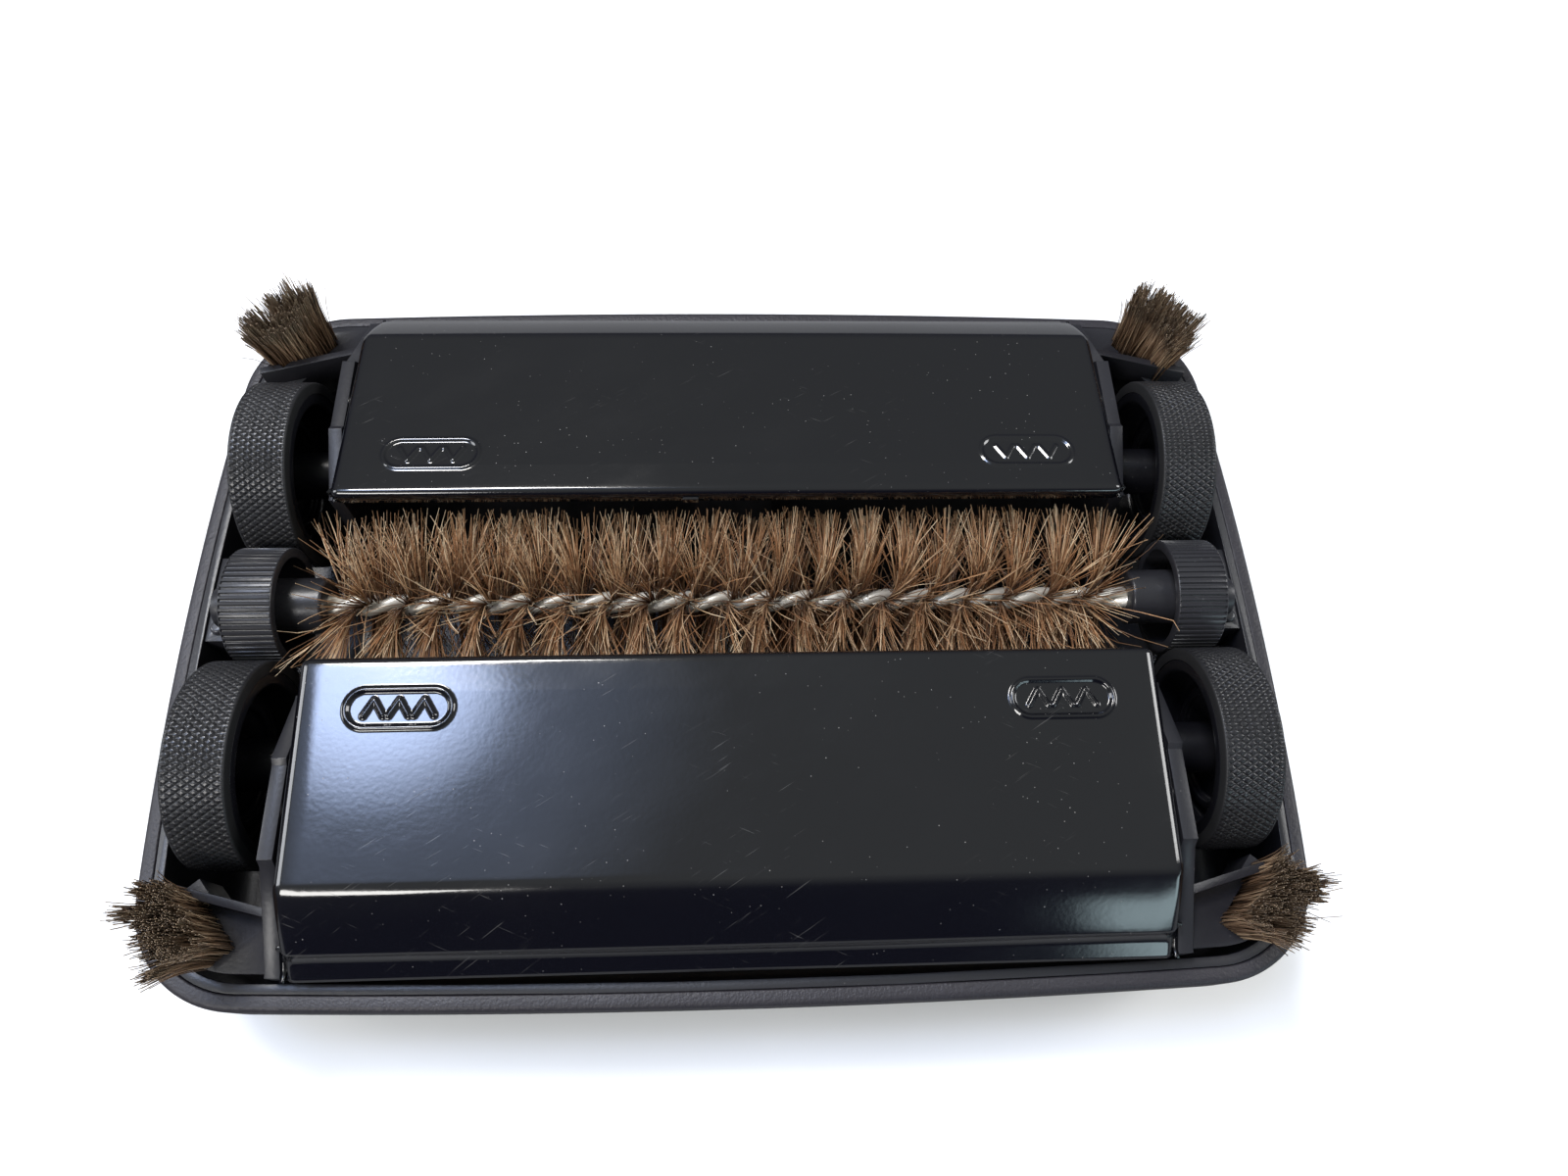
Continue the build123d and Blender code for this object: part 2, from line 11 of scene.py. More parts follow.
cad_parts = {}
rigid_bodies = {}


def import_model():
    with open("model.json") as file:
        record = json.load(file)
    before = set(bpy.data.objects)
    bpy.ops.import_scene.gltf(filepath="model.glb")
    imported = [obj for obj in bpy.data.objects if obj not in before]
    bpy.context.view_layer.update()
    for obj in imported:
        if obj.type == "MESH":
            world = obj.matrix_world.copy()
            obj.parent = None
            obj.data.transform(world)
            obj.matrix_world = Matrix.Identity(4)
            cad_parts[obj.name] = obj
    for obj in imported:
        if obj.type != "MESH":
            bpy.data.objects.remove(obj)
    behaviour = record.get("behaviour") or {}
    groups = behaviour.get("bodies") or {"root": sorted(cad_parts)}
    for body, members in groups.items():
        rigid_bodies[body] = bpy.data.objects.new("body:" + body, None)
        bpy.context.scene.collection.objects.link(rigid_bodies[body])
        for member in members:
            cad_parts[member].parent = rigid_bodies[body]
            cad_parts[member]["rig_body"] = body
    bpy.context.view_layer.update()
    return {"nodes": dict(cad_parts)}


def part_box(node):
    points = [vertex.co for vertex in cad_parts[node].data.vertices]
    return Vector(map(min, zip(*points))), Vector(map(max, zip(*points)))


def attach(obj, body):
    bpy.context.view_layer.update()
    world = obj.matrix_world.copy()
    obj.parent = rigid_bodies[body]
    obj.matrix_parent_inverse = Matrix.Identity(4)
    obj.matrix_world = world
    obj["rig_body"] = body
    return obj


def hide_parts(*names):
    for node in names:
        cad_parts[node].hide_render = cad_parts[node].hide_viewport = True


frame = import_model()
mm = 0.001
sideSigns = {"left": -1, "right": 1}
endSigns = {"front": -1, "rear": 1}


def centreOf(node):  # middle of a node's box, in mm
    low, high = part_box(node)
    return (np.array(low) + np.array(high)) / 2 / mm


def sizeOf(node):  # size of a node's box, in mm
    low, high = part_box(node)
    return (np.array(high) - np.array(low)) / mm


# ---- camera ----
cameraSet = dict(place=(-0.28, -109.95, 298.5), yaw=6.79, down=65.81, roll=5.59, lens=23.96, sensor=36.0)


def makeCamera():
    # forward from yaw and downward pitch; the right vector is turned by the roll
    yaw, down, roll = (radians(cameraSet[k]) for k in ("yaw", "down", "roll"))
    forward = Vector((sin(yaw) * cos(down), cos(yaw) * cos(down), -sin(down)))
    flatRight = Vector((cos(yaw), -sin(yaw), 0))
    flatUp = flatRight.cross(forward)
    right = cos(roll) * flatRight + sin(roll) * flatUp
    up = cos(roll) * flatUp - sin(roll) * flatRight
    data = bpy.data.cameras.new("camera")
    data.lens, data.sensor_width = cameraSet["lens"], cameraSet["sensor"]
    data.clip_start = 0.01
    camera = bpy.data.objects.new("camera", data)
    bpy.context.scene.collection.objects.link(camera)
    turn = Matrix((right, up, -forward)).transposed().to_4x4()
    camera.matrix_world = Matrix.Translation(Vector(cameraSet["place"]) * mm) @ turn
    bpy.context.scene.camera = camera


makeCamera()
print("camera set")


# ---- shader words ----
class Signal:  # one socket, with sums written as sums
    def __init__(self, finish, socket):
        self.finish, self.socket = finish, socket

    def work(self, operation, other=None, swap=False):
        values = [self] if other is None else [other, self] if swap else [self, other]
        return self.finish.add("ShaderNodeMath", {"operation": operation}, dict(enumerate(values)))

    def __add__(self, other): return self.work("ADD", other)
    def __radd__(self, other): return self.work("ADD", other, True)
    def __sub__(self, other): return self.work("SUBTRACT", other)
    def __rsub__(self, other): return self.work("SUBTRACT", other, True)
    def __mul__(self, other): return self.work("MULTIPLY", other)
    def __truediv__(self, other): return self.work("DIVIDE", other)

    def over(self, low, high):  # 0 below low, 1 above high, straight between
        return self.finish.add("ShaderNodeMapRange", {"clamp": True}, {0: self, 1: low, 2: high})


class Nodes:  # a node tree under construction
    def add(self, kind, settings=None, inputs=None, out=0):
        node = self.tree.nodes.new(kind)
        for key, value in (settings or {}).items():
            if key == "stops":
                self.setStops(node.color_ramp, value)
            else:
                setattr(node, key, value)
        for key, value in (inputs or {}).items():
            if isinstance(value, Signal):
                self.tree.links.new(value.socket, node.inputs[key])
            else:
                node.inputs[key].default_value = value
        return Signal(self, node.outputs[out])

    def setStops(self, ramp, stops):
        while len(ramp.elements) < len(stops):
            ramp.elements.new(1.0)
        for element, (place, colour) in zip(ramp.elements, stops):
            element.position, element.color = place, (*colour, 1)

    def mix(self, share, first, second):
        first = first if isinstance(first, Signal) else (*first, 1)
        second = second if isinstance(second, Signal) else (*second, 1)
        return self.add("ShaderNodeMix", {"data_type": "RGBA"}, {0: share, 6: first, 7: second}, 2)


class Finish(Nodes):  # a material under construction
    def __init__(self, name, **fixed):
        self.material = bpy.data.materials.new(name)
        self.material.use_nodes = True
        self.tree = self.material.node_tree
        self.shader = self.tree.nodes["Principled BSDF"]
        for key, value in fixed.items():
            self.shader.inputs[key.replace("_", " ")].default_value = value
        self.place = self.add("ShaderNodeTexCoord", out="Object")

    def stretch(self, lengths, turn=(0, 0, 0)):  # turned first, then measured in these lengths
        return self.add("ShaderNodeMapping", {"vector_type": "TEXTURE"}, {
            "Vector": self.place, "Scale": lengths, "Rotation": turn})

    def noise(self, scale, detail=3.0, rough=0.55, vector=None):
        return self.add("ShaderNodeTexNoise", None, {
            "Vector": vector or self.place, "Scale": scale, "Detail": detail, "Roughness": rough})

    def cells(self, scale, feature="F1"):
        return self.add("ShaderNodeTexVoronoi", {"feature": feature}, {
            "Vector": self.place, "Scale": scale}, "Distance")

    def attribute(self, name):
        return self.add("ShaderNodeAttribute", {"attribute_name": name}, None, "Fac")

    def colour(self, signal):
        self.tree.links.new(signal.socket, self.shader.inputs["Base Color"])
        return self

    def feed(self, name, signal):
        self.tree.links.new(signal.socket, self.shader.inputs[name])
        return self

    def bump(self, height, distance, strength=1.0, below=None):
        inputs = {"Height": height, "Distance": distance, "Strength": strength}
        if below:
            inputs["Normal"] = below
        return self.add("ShaderNodeBump", None, inputs)


def enamelFinish():
    # black enamel: fine orange peel, short scratches in two directions, dull smudges and specks of dust
    f = Finish("pan enamel", Specular_IOR_Level=0.5, Coat_Roughness=0.02, Coat_IOR=1.5)
    peel = f.noise(850, 1, 0.4)
    dent = f.noise(34, 1, 0.3)
    normal = f.bump(peel, 0.00010, 0.10, f.bump(dent, 0.0016, 0.05))
    smudge = f.noise(26, 4, 0.6, f.stretch((1, 0.6, 1), (0, 0, 0.5))).over(0.45, 0.72)
    scratch = f.noise(1, 2, 0.5, f.stretch((0.012, 0.0005, 0.02), (0, 0, 0.55))).over(0.68, 0.74)
    scratch = scratch + f.noise(1, 2, 0.5, f.stretch((0.008, 0.0004, 0.02), (0, 0, -0.4))).over(0.70, 0.76)
    scratch = scratch * f.noise(26, 1).over(0.50, 0.62)
    speck = (1 - f.cells(480).over(0.03, 0.08)) * f.noise(45, 2).over(0.43, 0.60)
    pale = f.add("ShaderNodeMath", {"operation": "MINIMUM"}, {0: speck * 0.8 + scratch * 0.12, 1: 1.0})
    f.colour(f.mix(pale, (0.0026, 0.0027, 0.0042), (0.26, 0.25, 0.24)))
    f.feed("Roughness", 0.11 + smudge * 0.07 + scratch * 0.16 + speck * 0.4)
    f.feed("Coat Weight", 0.40 - speck * 0.4 - scratch * 0.2)
    return f.feed("Normal", normal).material


def grainFinish(name, tone, rough, grain, depth, dusty=0.25):
    # moulded plastic with a fine leather grain, rubbed lighter in patches, with a little dust
    f = Finish(name, Specular_IOR_Level=0.42)
    pits = f.cells(grain, feature="SMOOTH_F1") * 0.7 + f.noise(grain * 1.7, 2, 0.6) * 0.5
    rub = f.noise(38, 4, 0.65).over(0.45, 0.75)
    dust = (1 - f.cells(520).over(0.05, 0.13)) * f.noise(70, 2).over(0.52, 0.66)
    base = f.mix(rub * 0.55, tone, tuple(c * 1.55 for c in tone))
    f.colour(f.mix(dust * dusty, base, (0.30, 0.29, 0.28)))
    f.feed("Roughness", rough + rub * -0.07 + dust * 0.2 + f.noise(grain, 1) * 0.05)
    return f.feed("Normal", f.bump(pits, depth, 0.8)).material


def treadFinish():
    # dark rubber: the flat tops of the diamonds are smooth, the grooves between them dull and coloured nearly
    # black as painted shade
    f = Finish("tread rubber", Specular_IOR_Level=0.40)
    top = f.attribute("relief")
    rub = f.noise(90, 3, 0.6).over(0.35, 0.7)
    # painted shade: the colour runs from the diamond tops down to nearly black in the grooves and on the
    # ring's inside
    tone = f.mix(top, (0.0015, 0.0015, 0.002), (0.011, 0.011, 0.0125))
    f.colour(f.mix(rub * top * 0.5, tone, (0.022, 0.022, 0.025)))
    f.feed("Roughness", 0.80 - top * 0.56 + rub * 0.06)
    return f.feed("Normal", f.bump(f.noise(2600, 2), 0.00003, 0.5)).material


def hairFinish(name, stops, paleStops, shade):
    # hair: dark at the root as painted shade where it sits deep among the wires or in the slot, red brown
    # along its length, straw at the tip as the hair's own colour with painted highlight in it, no two hairs
    # alike
    f = Finish(name, Specular_IOR_Level=0.45)
    along, tone = f.attribute("along"), f.attribute("tone")
    # the ramps along each hair paint shade at the root and a painted highlight at the tip
    body = f.add("ShaderNodeValToRGB", {"stops": stops}, {0: along})
    pale = f.add("ShaderNodeValToRGB", {"stops": paleStops}, {0: along})
    first = f.mix(tone.over(0.62, 0.92), body, pale)
    f.colour(f.mix(tone.over(0.44, 0.0) * 0.9, first, shade))
    f.feed("Roughness", 0.28 + tone * 0.2)
    return f.feed("Normal", f.bump(f.noise(3000, 1), 0.00003, 0.5)).material


def metalFinish(name, tone, rough, lines, along=(1, 1, 1), stain=(0.16, 0.14, 0.11), metal=1.0):
    # drawn or turned metal: fine lines round or along it, a cloudy tarnish and small dark pits
    f = Finish(name, Metallic=metal)
    draw = f.noise(lines, 2, 0.6, f.stretch(along))
    cloud = f.noise(110, 4, 0.6).over(0.40, 0.75)
    pit = 1 - f.cells(900).over(0.04, 0.14)
    f.colour(f.mix(pit * 0.35, f.mix(cloud * 0.45, tone, stain), (0.05, 0.05, 0.045)))
    f.feed("Roughness", rough + cloud * 0.16 + draw * 0.12)
    return f.feed("Normal", f.bump(draw, 0.00004, 0.6)).material


finishes = {
    "enamel": enamelFinish(),
    "case": grainFinish("case plastic", (0.016, 0.016, 0.019), 0.34, 1500, 0.00005),
    "rim": grainFinish("rim grain", (0.017, 0.0155, 0.020), 0.46, 1500, 0.00018, 0.15),
    "frame": grainFinish("frame plastic", (0.015, 0.015, 0.0185), 0.36, 1100, 0.00004, 0.35),
    "hub": grainFinish("hub plastic", (0.0045, 0.0045, 0.006), 0.30, 700, 0.00003, 0.2),
    "roller": grainFinish("roller plastic", (0.018, 0.018, 0.021), 0.30, 900, 0.00004, 0.2),
    "socket": grainFinish("socket plastic", (0.020, 0.020, 0.023), 0.42, 1300, 0.00006),
    "tread": treadFinish(),
    # both hair ramps run root to tip: the dark root colours are painted shade, the straw tip colours partly
    # painted highlight
    "hair": hairFinish(
        "brush hair", [(0.0, (0.05, 0.025, 0.012)), (0.35, (0.23, 0.105, 0.048)), (0.8, (0.46, 0.235, 0.112)),
                       (1.0, (0.66, 0.43, 0.25))],
        [(0.0, (0.22, 0.135, 0.08)), (0.5, (0.74, 0.50, 0.28)), (1.0, (1.0, 0.84, 0.60))],
        (0.018, 0.009, 0.005)),
    "tuft hair": hairFinish(
        "tuft hair", [(0.0, (0.035, 0.020, 0.012)), (0.5, (0.14, 0.080, 0.045)), (0.82, (0.27, 0.170, 0.105)),
                      (1.0, (0.40, 0.29, 0.20))],
        [(0.0, (0.12, 0.077, 0.048)), (0.7, (0.47, 0.33, 0.205)), (1.0, (0.60, 0.45, 0.30))],
        (0.022, 0.014, 0.009)),
    "wire": metalFinish(
        "galvanised wire", (0.80, 0.77, 0.69), 0.34, 900, (2.5, 1, 1), (0.42, 0.38, 0.31), 0.55),
    "steel": metalFinish("turned steel", (0.60, 0.59, 0.57), 0.24, 2500, (1, 5, 5)),
    "spring": metalFinish("spring wire", (0.42, 0.41, 0.40), 0.30, 1800, (3, 1, 1)),
    "black screw": grainFinish("blackened screw", (0.035, 0.035, 0.040), 0.22, 900, 0.00003, 0.2),
    "zinc": metalFinish("zinc plate", (0.62, 0.61, 0.55), 0.30, 1500, (1, 1, 2.5)),
}
print("finishes mixed")


# ---- mesh words ----
def meshPiece(name, points, faceSets, finish, body, attributes=None, smoothAngle=40):
    # points as an array in mm and faces as arrays of corner numbers, put into a mesh in metres
    mesh = bpy.data.meshes.new(name)
    points = np.asarray(points, float).reshape(-1, 3)
    mesh.vertices.add(len(points))
    mesh.vertices.foreach_set("co", (points * mm).astype(np.float32).ravel())
    corners = np.concatenate([f.ravel() for f in faceSets])
    counts = np.concatenate([np.full(len(f), f.shape[1]) for f in faceSets])
    mesh.loops.add(len(corners))
    mesh.loops.foreach_set("vertex_index", corners.astype(np.int32))
    mesh.polygons.add(len(counts))
    mesh.polygons.foreach_set("loop_start", (np.cumsum(counts) - counts).astype(np.int32))
    mesh.polygons.foreach_set("use_smooth", np.ones(len(counts), bool))
    mesh.update(calc_edges=True)
    for key, values in (attributes or {}).items():
        layer = mesh.attributes.new(key, "FLOAT", "POINT")
        layer.data.foreach_set("value", np.asarray(values, np.float32).ravel())
    if smoothAngle:
        mesh.set_sharp_from_angle(angle=radians(smoothAngle))
    mesh.materials.append(finishes[finish])
    piece = bpy.data.objects.new(name, mesh)
    bpy.context.scene.collection.objects.link(piece)
    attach(piece, body)
    return piece


def gridFaces(rows, columns, closeRows=False, closeColumns=False, turned=False):
    # quads over a grid of points counted row by row, joined end to end where a direction is closed
    r = np.arange(rows if closeRows else rows - 1)[:, None]
    c = np.arange(columns if closeColumns else columns - 1)[None, :]
    rNext, cNext = (r + 1) % rows, (c + 1) % columns
    quads = np.stack([r * columns + c, rNext * columns + c, rNext * columns + cNext, r * columns + cNext], -1)
    quads = quads.reshape(-1, 4)
    return quads[:, ::-1] if turned else quads


def roundedLoop(corners, radii, steps=5, closed=True):
    # corners joined by straight runs, each corner replaced by an arc tangent to both runs
    corners = [np.array(c, float) for c in corners]
    radii = [radii] * len(corners) if np.isscalar(radii) else radii
    points = []
    for i, (corner, radius) in enumerate(zip(corners, radii)):
        if not closed and i in (0, len(corners) - 1) or radius == 0:
            points.append(corner)
            continue
        before, after = corners[i - 1] - corner, corners[(i + 1) % len(corners)] - corner
        lengthA, lengthB = np.linalg.norm(before), np.linalg.norm(after)
        before, after = before / lengthA, after / lengthB
        half = np.arccos(np.clip(before @ after, -1, 1)) / 2
        cut = min(radius / tan(half), 0.49 * lengthA, 0.49 * lengthB)
        bow = cut * tan(half)
        middle = corner + (before + after) / np.linalg.norm(before + after) * bow / sin(half)
        a, b = corner + before * cut - middle, corner + after * cut - middle
        swing = np.arccos(np.clip(a @ b / bow ** 2, -1, 1))
        for t in np.linspace(0, 1, steps):
            points.append(middle + (sin((1 - t) * swing) * a + sin(t * swing) * b) / sin(swing))
    return np.array(points)


def turnedPiece(name, profile, centre, finish, body, around, relief, replaced, smoothAngle):
    # a closed (x, radius) loop turned round an axis along X; relief(angle, x, radius) cuts into the radius
    profile = np.asarray(profile, float)
    area = np.sum(profile[:, 0] * np.roll(profile[:, 1], -1) - np.roll(profile[:, 0], -1) * profile[:, 1])
    profile = profile if area > 0 else profile[::-1]
    angle = np.arange(around) * 2 * pi / around
    x = np.repeat(profile[None, :, 0], around, 0)
    radius = np.repeat(profile[None, :, 1], around, 0)
    values = np.ones_like(x)
    if relief:
        radius, values = relief(angle[:, None], x, radius)
    y = centre[1] + radius * np.cos(angle)[:, None]
    z = centre[2] + radius * np.sin(angle)[:, None]
    faces = gridFaces(around, len(profile), True, True, turned=True)
    points = np.stack([x, y, z], -1)
    piece = meshPiece(name, points, [faces], finish, body, {"relief": values}, smoothAngle)
    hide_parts(*replaced)
    return piece


soft = dict(merge=0.002, flatAngle=0.6, edgeAngle=32, segments=2)


def softened(node, width, finish):
    # a copy of a CAD node with its doubles merged, its flat faces joined and its edges rounded
    source = frame["nodes"][node]
    mesh = source.data.copy()
    mesh.name = node + "_form"
    shape = bmesh.new()
    shape.from_mesh(mesh)
    bmesh.ops.remove_doubles(shape, verts=shape.verts, dist=soft["merge"] * mm)
    flat = radians(soft["flatAngle"])
    bmesh.ops.dissolve_limit(shape, angle_limit=flat, verts=shape.verts, edges=shape.edges)
    shape.to_mesh(mesh)
    shape.free()
    mesh.polygons.foreach_set("use_smooth", np.ones(len(mesh.polygons), bool))
    mesh.materials.clear()
    mesh.materials.append(finishes[finish])
    piece = bpy.data.objects.new(node + "_form", mesh)
    bpy.context.scene.collection.objects.link(piece)
    bevel = piece.modifiers.new("edges", "BEVEL")
    bevel.width, bevel.segments = width * mm, soft["segments"]
    bevel.limit_method, bevel.angle_limit = "ANGLE", radians(soft["edgeAngle"])
    bevel.use_clamp_overlap, bevel.harden_normals = True, False
    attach(piece, source["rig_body"])
    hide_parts(node)
    return piece


# ---- rim band ----
rimBand = dict(width=290.0, depth=200.0, top=38.0, sideBow=4.75, frontBow=3.1, corner=28.0, thick=3.8,
               tall=13.0, edge=1.5, groove=0.5, perArc=26)


def planLoop():
    # the case's outline as points and outward directions: four wide arcs and four corner arcs that touch them
    b = rimBand
    halfX, halfY, r = b["width"] / 2, b["depth"] / 2, b["corner"]
    chordY, chordX = halfY - b["frontBow"], halfX - b["sideBow"]
    sideR = (chordY ** 2 + b["sideBow"] ** 2) / (2 * b["sideBow"])
    frontR = (chordX ** 2 + b["frontBow"] ** 2) / (2 * b["frontBow"])
    sideC, frontC = np.array([halfX - sideR, 0]), np.array([0, halfY - frontR])
    apart = np.linalg.norm(frontC - sideC)
    first, second = sideR - r, frontR - r
    along = (apart ** 2 + first ** 2 - second ** 2) / (2 * apart)
    off = sqrt(first ** 2 - along ** 2)
    line = (frontC - sideC) / apart
    corner = sideC + line * along + np.array([-line[1], line[0]]) * off
    start = np.arctan2(*(corner - sideC)[::-1])
    finish = np.arctan2(*(corner - frontC)[::-1])
    arcs = [(sideC, sideR, 0, start), (corner, r, start, finish), (frontC, frontR, finish, pi / 2)]
    points, outward = [], []
    for centre, radius, a, b2 in arcs:
        t = np.linspace(a, b2, b["perArc"])[:-1]
        direction = np.stack([np.cos(t), np.sin(t)], -1)
        points.append(centre + radius * direction)
        outward.append(direction)
    points, outward = np.concatenate(points), np.concatenate(outward)
    quarter = [(points, outward)]
    for flipX, flipY, back in ((-1, 1, True), (-1, -1, False), (1, -1, True)):
        sign = np.array([flipX, flipY])
        p, o = points * sign, outward * sign
        quarter.append((p[::-1], o[::-1]) if back else (p, o))
    allPoints = np.concatenate([q[0] for q in quarter])
    allOut = np.concatenate([q[1] for q in quarter])
    keep = np.linalg.norm(allPoints - np.roll(allPoints, 1, 0), axis=1) > 1e-6
    return allPoints[keep], allOut[keep]


def makeRimBand():
    # a closed (inset, height) loop carried round the outline
    b = rimBand
    points, outward = planLoop()
    low = b["top"] - b["tall"]
    loop = roundedLoop([(0, low), (0, b["top"]), (b["thick"], b["top"]), (b["thick"], low)],
                       [b["edge"], b["edge"], b["groove"], 0.3], 6)
    place = points[:, None, :] - outward[:, None, :] * loop[None, :, :1]
    height = np.repeat(loop[None, :, 1:], len(points), 0)
    faces = gridFaces(len(points), len(loop), True, True, turned=True)
    points = np.concatenate([place, height], -1)
    piece = meshPiece("rim_band", points, [faces], "rim", "housing")
    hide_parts("bumper_band")


makeRimBand()
print("rim made")

# ---- plastic and metal pieces that keep their CAD shape ----
softNodes = {
    "housing_shell": (0.5, "case", "case_plastic"), "handle_socket": (0.5, "socket", "socket_plastic"),
    "handle_pin": (0.3, "steel", "bright_steel"), "axle_clips": (0.12, "spring", "spring_steel"),
    "end_plate_screws": (0.2, "zinc", "screw_steel"),
}
for sideName in sideSigns:
    softNodes[f"{sideName}_end_plate"] = (0.32, "frame", "frame_plastic")
    softNodes[f"{sideName}_bearing_bracket"] = (0.35, "frame", "frame_plastic")
    softNodes[f"{sideName}_bearing_screw"] = (0.15, "black screw", "screw_steel")
    softNodes[f"{sideName}_brush_pin"] = (0.25, "steel", "bright_steel")
    for endName in endSigns:
        softNodes[f"{endName}_{sideName}_axle"] = (0.3, "steel", "bright_steel")
        softNodes[f"{endName}_{sideName}_pan_pin"] = (0.25, "steel", "bright_steel")
for node, (width, finish, slot) in softNodes.items():
    softened(node, width, finish)
print("moulded pieces made")

# ---- wheels ----
tread = dict(diamonds=85, pitch=2.6, depth=0.42, margin=0.7, marginStart=0.35, perDiamond=8, perPitch=9,
             chamfer=0.5, cornerX=0.12, cornerDrop=0.25, thick=3.0)
hub = dict(wall=3.2, webX=122.6, webThick=3.4, stepRadius=15.8, stepTall=2.2, stepWall=2.2, boss=6.5,
           bore=3.05, innerX=114.2, bossX=107.45,
           radii=[0.5, 0.5, 0.6, 1.0, 0.3, 0.3, 0.8, 1.5, 1.0, 0.7, 0.7, 1.2, 1.6, 0.9])


def knurl(radiusOuter, low, high):
    # two families of slanting grooves; between them stand diamonds with flat tops
    def relief(angle, x, radius):
        turns = angle * tread["diamonds"] / (2 * pi)
        runs = (x - low) / tread["pitch"]
        first = np.abs(((turns + runs) % 1) * 2 - 1)
        second = np.abs(((turns - runs) % 1) * 2 - 1)
        top = np.clip(np.minimum(first, second) * 5.0 - 0.3, 0, 1)
        edge = np.clip((np.minimum(x - low, high - x) - tread["marginStart"]) / tread["margin"], 0, 1)
        outer = radius > radiusOuter - 0.01
        cut = np.where(outer, (1 - top) * edge, 0)
        # the second value is the diamond tops' share: low in the grooves and 0.1 on the ring's inside, which
        # the tread finish colours nearly black as painted shade
        return radius - cut * tread["depth"], np.where(outer, 1 - cut, 0.1)
    return relief


def makeWheel(endName, sideName):
    # a knurled ring, and inside it a hub whose wall, web, step and boss are one loop of (x, radius)
    node = f"{endName}_{sideName}_wheel_tread"
    centre, size = centreOf(node), sizeOf(node)
    sign = sideSigns[sideName]
    outer, half = size[1] / 2, size[0] / 2
    low, high = centre[0] - half, centre[0] + half
    steps = int(size[0] / tread["pitch"] * tread["perPitch"])
    c = tread["chamfer"]
    face = [(x, outer) for x in np.linspace(low + c, high - c, steps)]
    inner = outer - tread["thick"]
    drop, along = tread["cornerDrop"], tread["cornerX"]
    profile = [(low, outer - c), (low + along, outer - drop), *face, (high - along, outer - drop),
               (high, outer - c), (high, inner), (low, inner)]
    turnedPiece(node + "_knurl", profile, centre, "tread", f"{endName}_{sideName}_wheel",
                tread["diamonds"] * tread["perDiamond"], knurl(outer, low, high), [node], 50)
    h = hub
    webEnd = h["webX"] + h["webThick"]
    endX = h["innerX"] + size[0]
    rim = inner - h["wall"]
    stepX, stepInner = h["webX"] - h["stepTall"], h["stepRadius"] - h["stepWall"]
    loop = [(h["innerX"], inner), (endX, inner), (endX, rim), (webEnd, rim), (webEnd, h["bore"]),
            (h["bossX"], h["bore"]), (h["bossX"], h["boss"]), (h["webX"], h["boss"]), (h["webX"], stepInner),
            (stepX, stepInner), (stepX, h["stepRadius"]), (h["webX"], h["stepRadius"]), (h["webX"], rim),
            (h["innerX"], rim)]
    loop = roundedLoop(loop, h["radii"]) * np.array([sign, 1])
    turnedPiece(f"{endName}_{sideName}_wheel_hub_form", loop, centre, "hub", f"{endName}_{sideName}_wheel",
                120, None, [f"{endName}_{sideName}_wheel_hub"], 60)


for endName in endSigns:
    for sideName in sideSigns:
        makeWheel(endName, sideName)
print("wheels made")

# ---- brush roll ----
roller = dict(radius=15.2, innerX=114.0, width=13.0, wall=2.6, web=2.6, collar=7.3, collarX=105.0, core=2.9,
              coreX=115.0, pin=2.0, ribs=62, ribDepth=0.62, perRib=10, grooveHalf=0.30, grooveSlope=0.12,
              endStart=0.3, endRun=0.5, endLeast=0.85, radii=[0.5, 0.5, 0.2, 0, 0, 0.3, 0.9, 1.0, 1.0, 0.4])
core = dict(strand=1.46, lead=21.0, around=12, perLead=40, half=109.4)
fan = dict(count=6400, rootRadius=1.6, tipRadius=25.3, half=101.5, shortRight=3.0, spread=7.0, loose=0.15,
           looseSpread=30.0, looseTilt=2.2, looseBend=2.5, limitX=113.2, tilt=9.0, bend=2.0, thick=0.17,
           clump=0.50, bunch=1.3, endSplay=7.0, endTilt=(0.36, 0.24), seed=11)


def ribs(angle, x, radius):
    # flat-topped ribs along the roller with narrow grooves between, a little shallower at both ends
    r = roller
    turn = (angle * r["ribs"] / (2 * pi)) % 1
    groove = np.clip((r["grooveHalf"] - np.abs(turn - 0.5)) / r["grooveSlope"], 0, 1)
    reach = np.minimum(np.abs(x) - r["innerX"], r["innerX"] + r["width"] - np.abs(x))
    edge = np.clip((reach - r["endStart"]) / r["endRun"], r["endLeast"], 1)
    outer = radius > r["radius"] - 0.02
    cut = np.where(outer, groove, 0)
    return radius - cut * r["ribDepth"] * edge, np.where(outer, 1 - cut, 0.0)


def makeRoller(sideName):
    # outside, bore, collar and hollow as one loop of (x, radius)
    r, sign = roller, sideSigns[sideName]
    end, webX = r["innerX"] + r["width"], r["innerX"] + r["width"] - r["web"]
    loop = [(r["innerX"], r["radius"]), (end, r["radius"]), (end, r["pin"]), (r["coreX"], r["pin"]),
            (r["coreX"], r["core"]), (r["collarX"], r["core"]), (r["collarX"], r["collar"]),
            (webX, r["collar"]),
            (webX, r["radius"] - r["wall"]), (r["innerX"], r["radius"] - r["wall"])]
    loop = roundedLoop(loop, r["radii"]) * np.array([sign, 1])
    turnedPiece(f"{sideName}_roller_ribbed", loop, centreOf("brush_core"), "roller", "brush",
                r["ribs"] * r["perRib"], ribs, [f"{sideName}_roller"], 35)


